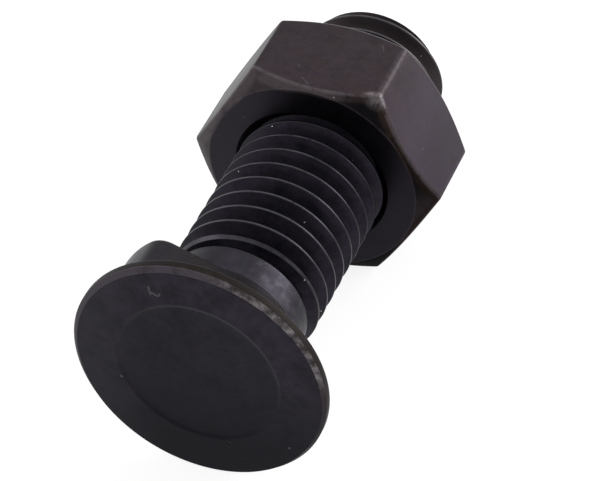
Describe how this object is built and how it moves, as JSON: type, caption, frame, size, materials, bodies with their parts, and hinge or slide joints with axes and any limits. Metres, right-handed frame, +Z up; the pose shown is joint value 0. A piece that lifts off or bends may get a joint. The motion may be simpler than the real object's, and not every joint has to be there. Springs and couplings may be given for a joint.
{
  "type": "plow bolt",
  "caption": "Plow bolt with a flat countersunk head, a nib under the head, a coarse right-hand thread and a chamfered hex nut run part of the way down it.",
  "frame": {"origin": "on the table under the middle of the bolt's box, where the bolt lies", "axes": "+Z up, +Y along the bolt from the head towards the thread's end (the axis falls 2.0 degrees towards the nut), +X to the side away from the nib"},
  "size_m": [0.0274, 0.0514, 0.0267],
  "materials": {
    "bolt_steel": "black oxide, satin, worn to bare steel at the edges",
    "nut_steel": "black oxide, satin, brownish on the chamfers"
  },
  "bodies": {
    "bolt": {"bolt": "bolt_steel"},
    "nut": {"nut": "nut_steel"}
  },
  "joints": [
    {"name": "nut_travel", "type": "slide", "parent": "bolt", "child": "nut", "axis": [0, 0.9994, -0.0357], "range_m": [-0.01847, 0.02078]}
  ]
}
